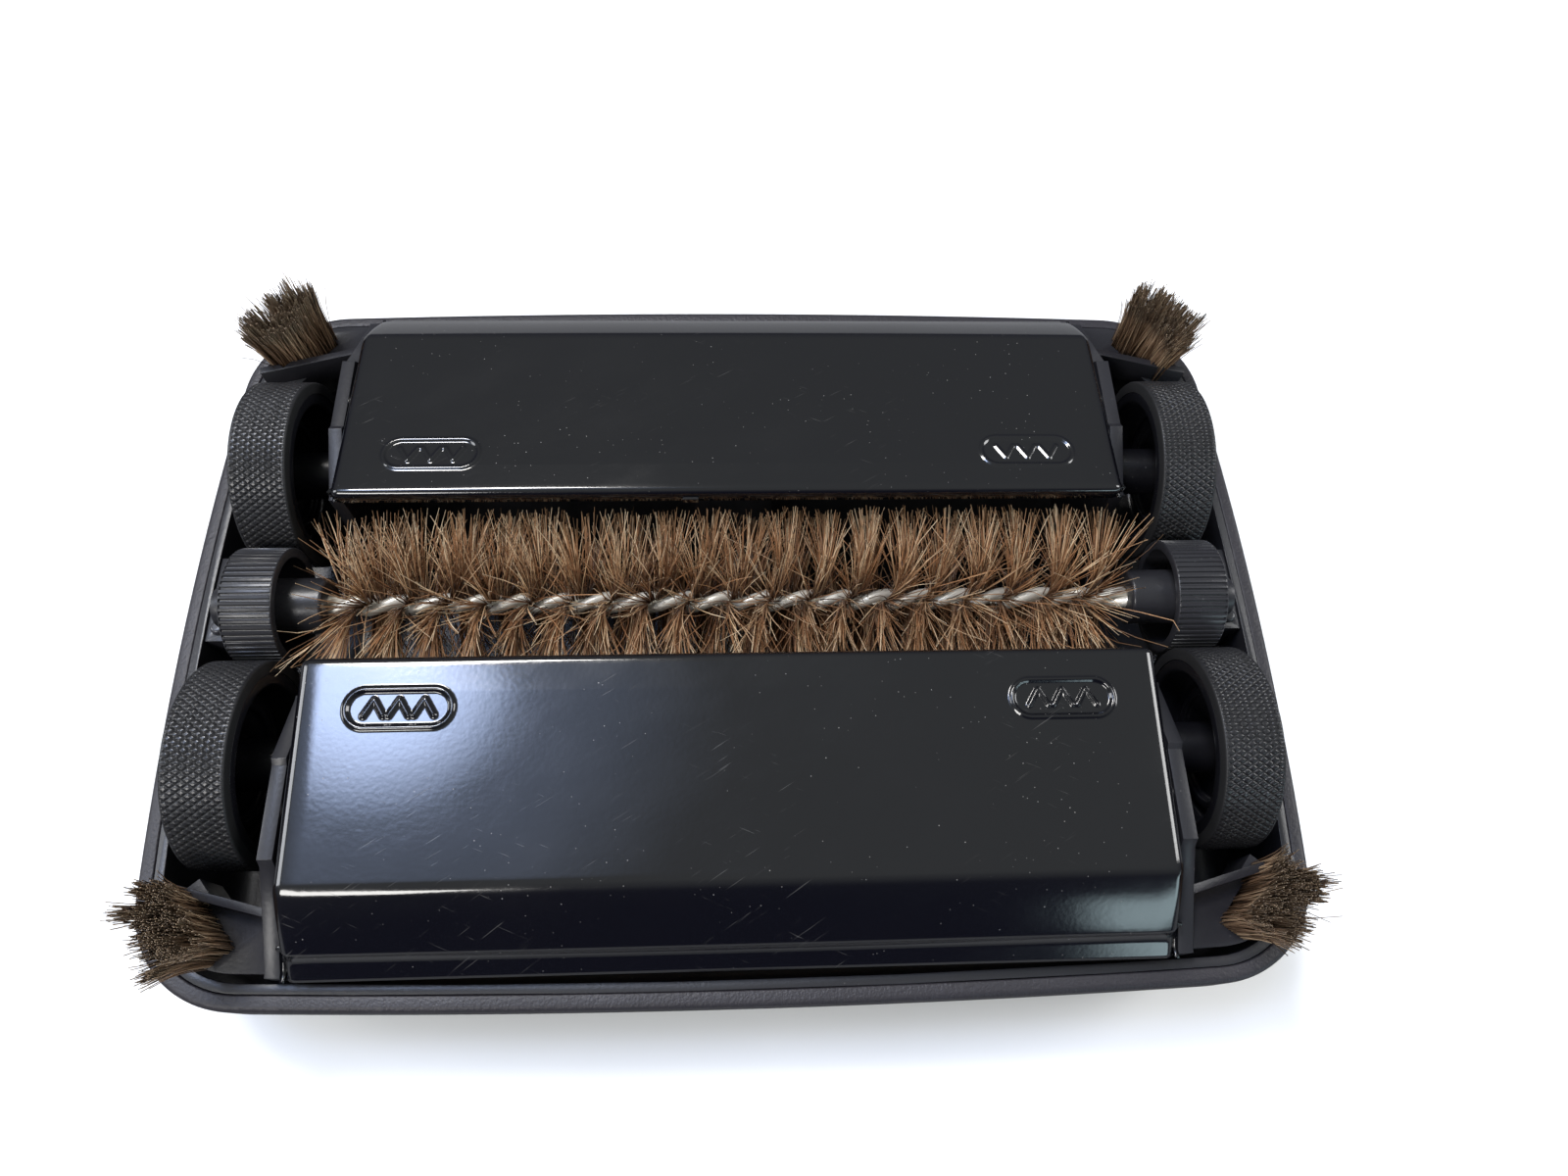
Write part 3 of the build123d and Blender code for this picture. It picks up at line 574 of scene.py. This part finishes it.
def makeCore():
    # two wires wound round each other left-handed: each centre line is a helix of the strand's own radius
    c, centre = core, centreOf("brush_core")
    rows = int(2 * c["half"] / c["lead"] * c["perLead"])
    x = np.linspace(-c["half"], c["half"], rows)
    sets, faces = [], []
    for start in (0.0, pi):
        turn = start - 2 * pi * x / c["lead"]
        out = np.stack([np.zeros(rows), np.cos(turn), np.sin(turn)], -1)
        along = np.stack([np.full(rows, c["lead"]), 2 * pi * c["strand"] * np.sin(turn),
                          -2 * pi * c["strand"] * np.cos(turn)], -1)
        along /= np.linalg.norm(along, axis=1, keepdims=True)
        across = np.cross(along, out)
        line = np.stack([x, np.zeros(rows), np.zeros(rows)], -1) + out * c["strand"] + centre
        a = np.arange(c["around"]) * 2 * pi / c["around"]
        tube = line[:, None] + c["strand"] * (np.cos(a)[None, :, None] * out[:, None]
                                              + np.sin(a)[None, :, None] * across[:, None])
        offset = sum(len(s) for s in sets)
        sets.append(np.concatenate([tube.reshape(-1, 3), line[:1], line[-1:]]))
        faces.append(gridFaces(rows, c["around"], False, True) + offset)
        ring, last = np.arange(c["around"]), rows * c["around"]
        nextRing = (ring + 1) % c["around"]
        startCap = np.stack([nextRing, ring, np.full_like(ring, last)], -1)[:, ::-1]
        endCap = np.stack([ring, nextRing, np.full_like(ring, last + 1)], -1)[:, ::-1]
        endCap[:, 1:] += (rows - 1) * c["around"]
        faces.append(startCap + offset)
        faces.append(endCap + offset)
    piece = meshPiece("brush_wire", np.concatenate(sets), faces, "wire", "brush", None, 80)
    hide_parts("brush_core")


def hairPiece(name, lines, thick, tone, body, finish, replaced=()):
    # each hair is a tapering three-sided tube along its own line of points
    count, steps = lines.shape[:2]
    along = np.gradient(lines, axis=1)
    along /= np.linalg.norm(along, axis=2, keepdims=True) + 1e-9
    side = np.cross(along, np.array([0.31, 0.17, 0.93]))
    side /= np.linalg.norm(side, axis=2, keepdims=True) + 1e-9
    other = np.cross(along, side)
    share = np.linspace(0, 1, steps)
    width = thick[:, None] * (1.0 - 0.45 * share[None])
    a = np.arange(3) * 2 * pi / 3
    cosA, sinA = np.cos(a)[None, None, :, None], np.sin(a)[None, None, :, None]
    points = lines[:, :, None] + width[..., None, None] * (cosA * side[:, :, None] + sinA * other[:, :, None])
    base = (np.arange(count) * steps * 3)[:, None, None]
    quads = (gridFaces(steps, 3, False, True)[None] + base).reshape(-1, 4)
    caps = np.array([[2, 1, 0], [(steps - 1) * 3, (steps - 1) * 3 + 1, (steps - 1) * 3 + 2]])
    caps = (caps[None] + base).reshape(-1, 3)
    values = {"along": np.repeat(np.tile(share, count), 3), "tone": np.repeat(tone, steps * 3)}
    piece = meshPiece(name, points, [quads, caps], finish, body, values, 0)
    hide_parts(*replaced)
    return piece


def makeFan():
    # hair caught between the wires: it leaves on both sides of the twist, splays, bends and is cut to length
    f, centre = fan, centreOf("brush_bristles")
    rng = np.random.default_rng(f["seed"])
    n = f["count"]
    right = f["half"] - f["shortRight"]
    x = rng.uniform(-f["half"], right, n)
    bunch = (np.floor(x / f["bunch"]) + 200).astype(int)
    bunchTurn, bunchTilt = rng.normal(0, 1, 400)[bunch], rng.normal(0, 1, 400)[bunch]
    side = rng.integers(0, 2, n) * pi
    loose = rng.uniform(0, 1, n) < f["loose"]
    spread = np.where(loose, f["looseSpread"], f["spread"])
    turn = pi / 2 - 2 * pi * x / core["lead"] + side + np.radians(spread) * (
        f["clump"] * bunchTurn + rng.normal(0, 1, n))
    tilt = radians(f["tilt"]) * (0.8 * rng.normal(0, 1, n) + 0.6 * bunchTilt)
    tilt = tilt * np.where(loose, f["looseTilt"], 1.0)
    edge = np.clip((np.abs(x) - (np.where(x < 0, f["half"], right) - f["endSplay"])) / f["endSplay"], 0, 1)
    tilt += np.sign(x) * edge * rng.uniform(0, 1, n) ** 1.5 * np.where(x < 0, *f["endTilt"])
    length = f["tipRadius"] * rng.normal(0.955, 0.04, n).clip(0.80, 1.0)
    share = np.linspace(0, 1, 5)
    reach = np.where(loose, f["looseBend"], 1.0) * f["bend"]
    bendTurn, bendTilt = rng.normal(0, 1, n) * reach, rng.normal(0, 1, n) * reach
    run = (length - f["rootRadius"]) * np.cos(tilt).clip(0.72, 1)
    radius = f["rootRadius"] + run[:, None] * share
    angle = turn[:, None] + (bendTurn[:, None] * share ** 2) / np.maximum(radius, 6)
    shift = (np.tan(tilt) * run)[:, None] * share + bendTilt[:, None] * share ** 2
    lines = np.stack([x[:, None] + shift, radius * np.cos(angle), radius * np.sin(angle)], -1)
    lines[..., 0] = np.clip(lines[..., 0], -f["limitX"], f["limitX"])
    lines += np.array([0, centre[1], centre[2]])
    thick = f["thick"] * rng.uniform(0.75, 1.2, n)
    tone = rng.uniform(0, 1, n)
    halves = (("left_bristles", x < 0, ["brush_bristles"]), ("right_bristles", x >= 0, []))
    for name, part, replaced in halves:
        hairPiece(name, lines[part], thick[part], tone[part], "brush", "hair", replaced)


for sideName in sideSigns:
    makeRoller(sideName)
makeCore()
makeFan()
print("brush roll made")

# ---- corner tufts ----
tuftShape = dict(length=16.5, width=5.0, socketX=122.6, socketY=79.4, turn=50.0, base=42.6, tall=18.0,
                 sunk=6.0, tipLength=20.5, tipWidth=10.0, lean=4.0, count=1500, thick=0.19, bunches=50,
                 strays=0.008, curl=1.2, frontShare=0.80, close=0.55, tallSpread=0.045, bunchSpread=0.09,
                 strayLength=4.0, strayWidth=3.0, wave=0.45, seed=23)


def makeTuft(endName, sideName):
    # hairs stand in the slot in small bunches, fan out and lean out; each bunch closes towards its tip
    t = tuftShape
    signs = np.array([sideSigns[sideName], endSigns[endName]])
    rng = np.random.default_rng(t["seed"] + int(signs[0] * 2 + signs[1]))
    n = t["count"]
    middles = rng.uniform(-0.5, 0.5, (t["bunches"], 2))
    tallOf = rng.normal(0, t["tallSpread"], t["bunches"])
    own = rng.integers(0, t["bunches"], n)
    u, v = (middles[own] + rng.normal(0, t["bunchSpread"], (n, 2))).clip(-0.54, 0.54).T
    uTip, vTip = ((1 - t["close"]) * np.stack([u, v]) + t["close"] * middles[own].T) * 1.04
    spread = t["frontShare"] if endName == "front" else 1.0
    share = np.linspace(0, 1, 6)
    tall = t["tall"] * (0.95 + tallOf[own] + 0.05 * rng.normal(0, 1, n)).clip(0.72, 1.07)
    lengthways = u[:, None] * t["length"] * (1 - share) + share * (
        uTip[:, None] * t["tipLength"] * spread + rng.normal(0, 0.7, n)[:, None] * share)
    across = v[:, None] * t["width"] * (1 - share) + share * (
        vTip[:, None] * t["tipWidth"] + rng.normal(0, 0.7, n)[:, None] * share) + t["lean"] * share ** 1.3
    curl = t["curl"] * share ** 4
    lengthways = lengthways + (u * np.abs(u) * 4)[:, None] * curl
    across = across + (v * np.abs(v) * 4)[:, None] * curl
    stray = (rng.uniform(0, 1, n) < t["strays"])[:, None]
    lengthways = lengthways + stray * rng.normal(0, t["strayLength"], n)[:, None] * share ** 2
    across = across + stray * rng.normal(1.0, t["strayWidth"], n)[:, None] * share ** 2
    wave = rng.normal(0, t["wave"], n)[:, None] * np.sin(share * pi)
    turn = radians(t["turn"])
    x = t["socketX"] + lengthways * cos(turn) + (across + wave) * sin(turn)
    y = t["socketY"] - lengthways * sin(turn) + (across + wave) * cos(turn)
    z = t["base"] - t["sunk"] + (tall + t["sunk"])[:, None] * share
    lines = np.stack([x * signs[0], y * signs[1], z], -1)
    hairPiece(f"{endName}_{sideName}_tuft_hair", lines, t["thick"] * rng.uniform(0.8, 1.2, n),
              rng.uniform(0, 0.95, n), "housing", "tuft hair", [f"{endName}_{sideName}_tuft"])


for endName in endSigns:
    for sideName in sideSigns:
        makeTuft(endName, sideName)
print("tufts made")

# ---- dust pans ----
pan = dict(half=102.4, inner=(21.6, 63.9), fold=(74.6, 59.3), foot=(87.0, 49.5), bead=(87.5, 47.9),
           flare=(88.2, 46.5), lip=(92.3, 43.4), innerLip=4.0, edge=1.9, foldRadius=5.5, footRadius=1.2,
           endRound=2.6, sheet=1.0, crown=0.5, crownRun=12, bow=0.32,
           coarseStep=1.5, wideStep=4.0, fineStep=0.27,
           low=[(40.0, 48.0), (56.0, 46.5), (75.0, 48.0), (84.0, 46.0), (90.7, 42.8)])
mark = dict(x=78.0, y=34.3, length=26.5, width=11.0, ridge=0.5, ridgeWide=1.0, sunk=0.25, tall=0.6, wide=1.0,
            pitch=5.8, apex=(0.0, -2.1), wing=(2.3, 1.7), reachX=14.4, reachY=7.5, fineY=7.2, rearShare=0.62)


def panMark(x, y):
    # height over the sheet: a cosine ridge round an oval, and three chevrons as cosine ridges along two arms
    m = mark
    straight = (m["length"] - m["width"]) / 2
    px, py = np.abs(x) - m["x"], y - m["y"]
    edge = np.hypot(np.maximum(np.abs(px) - straight, 0), py) - m["width"] / 2 + m["ridgeWide"]
    height = m["ridge"] * (0.5 + 0.5 * np.cos(pi * np.clip(edge / m["ridgeWide"], -1, 1)))
    height = height - m["sunk"] * (1 - np.clip(edge / m["ridgeWide"] + 1, 0, 1))
    apex, wing = np.array(m["apex"]), np.array(m["wing"])
    arm = wing - apex
    for k in (-1, 0, 1):
        reachX = np.abs(px - m["pitch"] * k)
        t = np.clip(((reachX - apex[0]) * arm[0] + (py - apex[1]) * arm[1]) / (arm @ arm), 0, 1)
        far = np.hypot(reachX - apex[0] - t * arm[0], py - apex[1] - t * arm[1])
        height = height + m["tall"] * (0.5 + 0.5 * np.cos(pi * np.clip(far / m["wide"], 0, 1)))
    return height * (np.abs(py) < m["reachY"])


def panPath():
    # the sheet's outer line in (y, z): inner lip, top, outer slope, bead and flange, with bends as arcs
    p = pan
    corners = [(p["inner"][0], p["inner"][1] - p["innerLip"]), p["inner"], p["fold"], p["foot"], p["bead"],
               p["flare"], p["lip"]]
    return roundedLoop(corners, [0, p["edge"], p["foldRadius"], p["footRadius"], 0.4, 0.5, 0], 9, False)


def makePan(endName):
    # a grid over the section line and X, raised by the mark and a slight crown; at each end it turns down
    # in a quarter round and runs on as an end wall
    p, sign = pan, endSigns[endName]
    path = panPath()
    gone = np.concatenate([[0], np.cumsum(np.linalg.norm(np.diff(path, axis=0), axis=1))])
    fineEnds = np.interp([mark["y"] - mark["fineY"], mark["y"] + mark["fineY"]], path[:, 0], gone)
    coarse, fineS = np.arange(0, gone[-1], p["coarseStep"]), np.arange(*fineEnds, p["fineStep"])
    s = np.unique(np.concatenate([gone, coarse, fineS]).round(3))
    s = s[np.concatenate([[True], np.diff(s) > 0.05])]
    y, z = np.interp(s, gone, path[:, 0]), np.interp(s, gone, path[:, 1])
    bend = np.interp([p["fold"][0], p["foot"][0]], path[:, 0], gone)
    bow = p["bow"] * np.sin(pi * np.clip((s - bend[0]) / (bend[1] - bend[0]), 0, 1))
    for _ in range(2):  # once to bow the slope, and once more for the outward directions of the bowed line
        slopeY, slopeZ = np.gradient(y, s), np.gradient(z, s)
        size = np.hypot(slopeY, slopeZ)
        outY, outZ = -slopeZ / size, slopeY / size
        y, z = y + outY * bow, z + outZ * bow
        bow = 0
    flatHalf = p["half"] - p["endRound"]
    fineX = np.arange(mark["x"] - mark["reachX"], mark["x"] + mark["reachX"], p["fineStep"])
    xs = np.unique(np.concatenate([np.arange(0, flatHalf, p["wideStep"]), fineX, [flatHalf]]).round(3))
    xs = np.concatenate([-xs[:0:-1], xs])
    flatX = np.repeat(xs[None], len(s), 0)
    rise = panMark(flatX, y[:, None]) * (mark["rearShare"] if endName == "rear" else 1.0)
    fade = np.clip(s / p["crownRun"], 0, 1) * np.clip((gone[-1] - s) / p["crownRun"], 0, 1)
    rise = rise + p["crown"] * (1 - (xs / p["half"]) ** 2)[None] * fade[:, None]
    middle = np.stack([flatX, y[:, None] + outY[:, None] * rise, z[:, None] + outZ[:, None] * rise], -1)
    low = np.array([path[0], *p["low"], p["lip"]])
    lowGone = np.concatenate([[0], np.cumsum(np.linalg.norm(np.diff(low, axis=0), axis=1))])
    share = s / gone[-1] * lowGone[-1]
    lowY, lowZ = np.interp(share, lowGone, low[:, 0]), np.interp(share, lowGone, low[:, 1])
    turns = np.radians([15, 30, 45, 60, 75, 90])
    ends = []
    for a in turns:
        drop = p["endRound"] * (1 - cos(a))
        reachX = np.full_like(s, flatHalf + p["endRound"] * sin(a))
        ends.append(np.stack([reachX, y - outY * drop, z - outZ * drop], -1))
    edge, low = ends[-1], np.stack([ends[-1][:, 0], lowY, lowZ], -1)
    ends += [edge * (1 - share) + low * share for share in (0.15, 0.4, 0.7, 1.0)]
    right = np.stack(ends, 1)
    left = right[:, ::-1] * np.array([-1, 1, 1])
    points = np.concatenate([left, middle, right], 1) * np.array([1, sign, 1])
    faces = gridFaces(points.shape[0], points.shape[1], turned=sign > 0)
    name = f"{endName}_pan"
    piece = meshPiece(name + "_sheet", points, [faces], "enamel", name, None, 0)
    thick = piece.modifiers.new("sheet", "SOLIDIFY")
    thick.thickness, thick.offset = p["sheet"] * mm, -1.0
    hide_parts(f"{endName}_dust_pan")


tab = dict(x=-11.0, width=4.2, out=0.9, sunk=0.4, low=60.2, tall=1.9, round=0.25)


def makeTab():
    # the finger tab on the rear pan's inner lip: a small rounded block
    t = tab
    shape = bmesh.new()
    bmesh.ops.create_cube(shape, size=1.0)
    middle = Vector((t["x"], pan["inner"][0] + (t["sunk"] - t["out"]) / 2, t["low"] + t["tall"] / 2))
    size = Matrix.Diagonal((t["width"], t["out"] + t["sunk"], t["tall"], 1))
    place = Matrix.Scale(mm, 4) @ Matrix.Translation(middle) @ size
    bmesh.ops.transform(shape, matrix=place, verts=shape.verts)
    mesh = bpy.data.meshes.new("rear_pan_tab")
    shape.to_mesh(mesh)
    shape.free()
    mesh.materials.append(finishes["enamel"])
    piece = bpy.data.objects.new("rear_pan_tab", mesh)
    bpy.context.scene.collection.objects.link(piece)
    edges = piece.modifiers.new("edges", "BEVEL")
    edges.width, edges.segments = t["round"] * mm, 2
    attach(piece, "rear_pan")


for endName in endSigns:
    makePan(endName)
makeTab()
print("pans made")

# ---- return springs of the pans ----
spring = dict(wire=0.4, coil=2.75, turns=6, around=8, perTurn=20, startX=92.2, length=6.5, pivot=(56.0, 54.5),
              armY=66.5, armZ=57.6, hookY=64.0, hookZ=41.0, hookX=104.8)


def makeSpring(endName, sideName):
    # a wire of round section along a line: arm, coil round the pivot, hook
    p = spring
    t = np.linspace(0, 1, p["turns"] * p["perTurn"])
    turn = pi / 2 - t * p["turns"] * 2 * pi + t * pi * 0.6
    coil = np.stack([p["startX"] + p["wire"] + t * (p["length"] - 2 * p["wire"]),
                     p["pivot"][0] + p["coil"] * np.cos(turn), p["pivot"][1] + p["coil"] * np.sin(turn)], -1)
    arm = np.linspace([p["startX"] + p["wire"], p["armY"], p["armZ"]], coil[0], 8)[:-1]
    bend = np.array([coil[-1][0], p["hookY"], p["hookZ"]])
    hook = np.linspace(coil[-1], bend, 8)[1:]
    tail = np.linspace(bend, [p["hookX"], p["hookY"], p["hookZ"]], 6)[1:]
    line = np.concatenate([arm, coil, hook, tail])
    along = np.gradient(line, axis=0)
    along /= np.linalg.norm(along, axis=1, keepdims=True)
    side = np.cross(along, np.array([0.9, 0.3, 0.31]))
    side /= np.linalg.norm(side, axis=1, keepdims=True)
    other = np.cross(along, side)
    a = np.arange(p["around"]) * 2 * pi / p["around"]
    ringOut = np.cos(a)[None, :, None] * side[:, None] + np.sin(a)[None, :, None] * other[:, None]
    tube = line[:, None] + p["wire"] * ringOut
    signs = np.array([sideSigns[sideName], endSigns[endName], 1])
    rows = len(line)
    ring = np.arange(p["around"])
    caps = np.stack([ring[::-1], ring + (rows - 1) * p["around"]])
    turned = signs[0] * signs[1] < 0
    faces = [gridFaces(rows, p["around"], False, True, turned=turned), caps[:, ::-1] if turned else caps]
    node = f"{endName}_{sideName}_pan_spring"
    piece = meshPiece(node + "_coil", tube * signs, faces, "spring", "housing", None, 60)
    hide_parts(node)


for endName in endSigns:
    for sideName in sideSigns:
        makeSpring(endName, sideName)
print("springs made")

# ---- floor and light ----
room = dict(floor=6.0, middle=(0, 0, 0.03), lampWay=(-0.335, 0.175, 0.92), lampAngles=(0.0, 8.5),
            haloAngles=(1.0, 20.0), lampTone=(12.5, 15.5, 23.0), haloTone=(1.15, 1.40, 1.95),
            lowTone=(0.03, 0.03, 0.06), highTone=(0.42, 0.44, 0.43), darkFront=(-0.90, -0.40),
            paneTone=(3.0, 3.9, 4.2), paneLeft=(0.305, 0.345), paneLow=(0.13, 0.20), paneHigh=(0.46, 0.36),
            backdrop=(0.90, 0.90, 0.90), mirrored=0.85)


def makeRoom():
    # a wide square floor, darker where it is seen as a reflection
    mesh = bpy.data.meshes.new("floor")
    h = room["floor"] / 2
    mesh.from_pydata([(-h, -h, 0), (h, -h, 0), (h, h, 0), (-h, h, 0)], [], [(0, 1, 2, 3)])
    floor = bpy.data.objects.new("floor", mesh)
    bpy.context.scene.collection.objects.link(floor)
    f = Finish("pale floor", Specular_IOR_Level=0.2)
    tone = f.mix(f.noise(9, 3).over(0.3, 0.7), (0.86, 0.86, 0.86), (0.90, 0.90, 0.90))
    glossy = f.add("ShaderNodeLightPath", out="Is Glossy Ray")
    f.colour(f.mix(glossy * room["mirrored"], tone, (0.05, 0.05, 0.055)))
    f.feed("Roughness", 0.72 + f.noise(40, 2) * 0.1)
    mesh.materials.append(f.material)


def softBox(name, place, size, power, colour=(1, 1, 1)):
    # a rectangular lamp that faces the middle of the object
    data = bpy.data.lights.new(name, "AREA")
    data.shape, data.size, data.size_y = "RECTANGLE", size[0], size[1]
    data.energy, data.color = power, colour
    lamp = bpy.data.objects.new(name, data)
    bpy.context.scene.collection.objects.link(lamp)
    way = Vector(room["middle"]) - Vector(place)
    lamp.matrix_world = Matrix.Translation(place) @ way.to_track_quat("-Z", "Y").to_matrix().to_4x4()


class Sky(Nodes):  # the room's light as a function of direction
    def __init__(self):
        world = bpy.data.worlds.new("room")
        bpy.context.scene.world = world
        world.use_nodes = True
        self.tree = world.node_tree
        self.background = self.tree.nodes["Background"]
        self.way = self.add("ShaderNodeTexCoord", out="Generated")

    def glow(self, way, inner, outer):  # 1 inside the inner angle, fading to 0 at the outer one
        way = Vector(way).normalized()
        near = self.add("ShaderNodeVectorMath", {"operation": "DOT_PRODUCT"}, {0: self.way, 1: way}, "Value")
        return self.add("ShaderNodeMapRange", {"interpolation_type": "SMOOTHSTEP"}, {
            0: near, 1: cos(radians(outer)), 2: cos(radians(inner))})

    def finish(self, total):
        self.tree.links.new(total.socket, self.background.inputs["Color"])


def makeSky():
    # a dim room, darker to the front, with a bright lamp up to the left and a window low at the front right;
    # the camera itself sees a plain pale backdrop
    sky = Sky()
    x, y, z = (sky.add("ShaderNodeSeparateXYZ", None, {0: sky.way}, k) for k in range(3))
    lamp = sky.glow(room["lampWay"], *room["lampAngles"])
    halo = sky.glow(room["lampWay"], *room["haloAngles"])
    front = (0 - y).over(0.02, 0.05)
    rise = z / (0 - y)
    pane = x.over(*room["paneLeft"]) * rise.over(*room["paneLow"]) * rise.over(*room["paneHigh"]) * front
    base = sky.mix(z.over(-0.1, 0.9) * y.over(*room["darkFront"]), room["lowTone"], room["highTone"])
    tone = sky.mix(halo, base, room["haloTone"])
    tone = sky.mix(lamp, tone, room["lampTone"])
    tone = sky.mix(pane, tone, room["paneTone"])
    seen = sky.add("ShaderNodeLightPath", out="Is Camera Ray")
    sky.finish(sky.mix(seen, tone, room["backdrop"]))


makeRoom()
makeSky()
softBox("front lamp", (-0.95, -1.25, 1.45), (0.8, 0.45), 19, (1.0, 0.98, 0.95))
softBox("left lamp", (-1.5, 0.1, 0.95), (0.6, 0.9), 12, (0.92, 0.95, 1.0))
softBox("right lamp", (1.5, 0.25, 1.0), (0.6, 0.9), 15)
softBox("rear lamp", (-0.48, 0.58, 1.55), (0.5, 0.25), 19, (1.0, 0.97, 0.93))
bpy.context.scene.view_settings.view_transform = "Standard"
print("room made")
